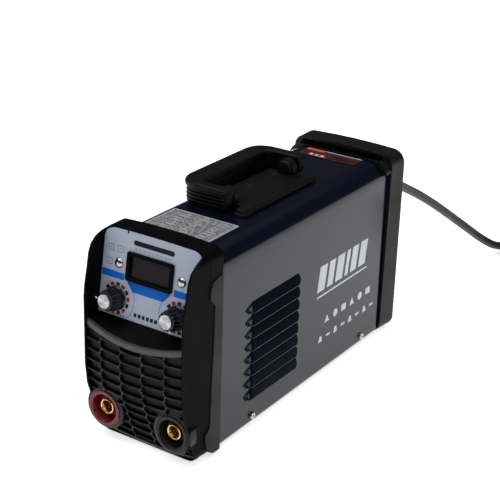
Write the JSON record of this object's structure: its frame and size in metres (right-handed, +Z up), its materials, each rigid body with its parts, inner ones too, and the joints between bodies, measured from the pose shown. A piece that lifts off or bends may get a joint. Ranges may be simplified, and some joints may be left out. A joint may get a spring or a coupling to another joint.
{
  "type": "stick welding inverter",
  "caption": "Portable stick welding inverter: louvred sheet cover between plastic end bezels, tilted control panel, two output sockets, folding carry handle and a mains lead.",
  "frame": {"origin": "centre of the machine's footprint on the surface it stands on, measured without the mains lead", "axes": "+Z up, the control panel and sockets face -Y, +X is the right-hand side seen from the front"},
  "size_m": [0.2812, 0.7807, 0.238],
  "materials": {
    "cover_paint": "glossy navy baked enamel on sheet steel",
    "screw_steel": "bright plated screws",
    "screw_black": "black oxide screws and pins",
    "tray_steel": "satin dark grey paint",
    "foot_rubber": "matt black moulded rubber",
    "bezel_plastic": "black moulded plastic with a fine grain",
    "grille_plastic": "black moulded plastic with worn edges",
    "panel_plastic": "pale printed film on a plate",
    "lens": "smoked clear window",
    "module": "dark display module",
    "panel_screw": "dull plated screws",
    "knob_plastic": "black fluted plastic",
    "knob_cap": "spun aluminium",
    "pot_metal": "plated can",
    "board": "green circuit board",
    "socket_red": "red moulded plastic",
    "socket_black": "black moulded plastic",
    "brass": "turned brass",
    "copper": "bare copper bar",
    "rear_plate": "satin black painted sheet",
    "fan_plastic": "black fan plastic",
    "switch_black": "black switch body",
    "switch_red": "red rocker",
    "cord": "dark grey rubber sheath",
    "cord_end": "black moulded rubber",
    "pin_metal": "nickel plated",
    "handle_plastic": "black ribbed plastic",
    "heatsink": "extruded aluminium",
    "core": "ferrite core with taped windings",
    "capacitor": "sleeved can",
    "label": "printed film",
    "label_warm": "printed film"
  },
  "bodies": {
    "case": {"cover": "cover_paint", "chassis_tray": "tray_steel", "front_bezel": "bezel_plastic", "rear_bezel": "bezel_plastic", "front_grille": "grille_plastic", "control_panel": "panel_plastic", "display_frame": "bezel_plastic", "display_lens": "lens", "display_module": "module", "control_board": "board", "power_board": "board", "socket_collar_positive": "socket_red", "socket_collar_negative": "socket_black", "socket_insert_positive": "brass", "socket_insert_negative": "brass", "bus_bar_positive": "copper", "bus_bar_negative": "copper", "rear_panel": "rear_plate", "fan_frame": "fan_plastic", "switch_housing": "switch_black", "handle_base": "handle_plastic", "cord_gland": "cord_end", "mains_cord_run": "cord", "mains_cord_coil": "cord", "cord_tie": "cord_end", "mains_plug": "cord_end", "plug_pin_a": "pin_metal", "plug_pin_b": "pin_metal", "heatsink_left": "heatsink", "heatsink_right": "heatsink", "transformer": "core", "output_choke": "copper", "capacitor_left": "capacitor", "capacitor_right": "capacitor", "label_top": "label", "label_rear": "label_warm", "cover_screw_left_front": "screw_steel", "foot_left_front": "foot_rubber", "cover_screw_left_rear": "screw_steel", "foot_left_rear": "foot_rubber", "panel_screw_left": "panel_screw", "potentiometer_left": "pot_metal", "cover_screw_right_front": "screw_steel", "foot_right_front": "foot_rubber", "cover_screw_right_rear": "screw_steel", "foot_right_rear": "foot_rubber", "panel_screw_right": "panel_screw", "potentiometer_right": "pot_metal", "handle_pin_front": "screw_black", "handle_pin_rear": "screw_black", "handle_screw_front": "screw_black", "handle_screw_middle": "screw_black", "handle_screw_rear": "screw_black"},
    "knob_left": {"knob_left": "knob_plastic", "knob_cap_left": "knob_cap"},
    "knob_right": {"knob_right": "knob_plastic", "knob_cap_right": "knob_cap"},
    "fan": {"fan_rotor": "fan_plastic"},
    "rocker": {"switch_rocker": "switch_red"},
    "handle": {"handle_bail": "handle_plastic"}
  },
  "joints": [
    {"name": "knob_left_turn", "type": "hinge", "parent": "case", "child": "knob_left", "pos_m": [-0.0365, -0.19172, 0.15257], "axis": [0, -0.9871, 0.1599], "range_deg": [-240, 60]},
    {"name": "knob_right_turn", "type": "hinge", "parent": "case", "child": "knob_right", "pos_m": [0.0365, -0.19172, 0.15257], "axis": [0, -0.9871, 0.1599], "range_deg": [0, 300]},
    {"name": "fan_spin", "type": "hinge", "parent": "case", "child": "fan", "pos_m": [0, 0.157, 0.07], "axis": [0, 1, 0], "continuous": true},
    {"name": "rocker_tilt", "type": "hinge", "parent": "case", "child": "rocker", "pos_m": [-0.024, 0.1718, 0.158], "axis": [1, 0, 0], "range_deg": [-20, 0]},
    {"name": "handle_fold", "type": "hinge", "parent": "case", "child": "handle", "pos_m": [0, -0.004, 0.226], "axis": [0, 1, 0], "range_deg": [0, 90]}
  ]
}
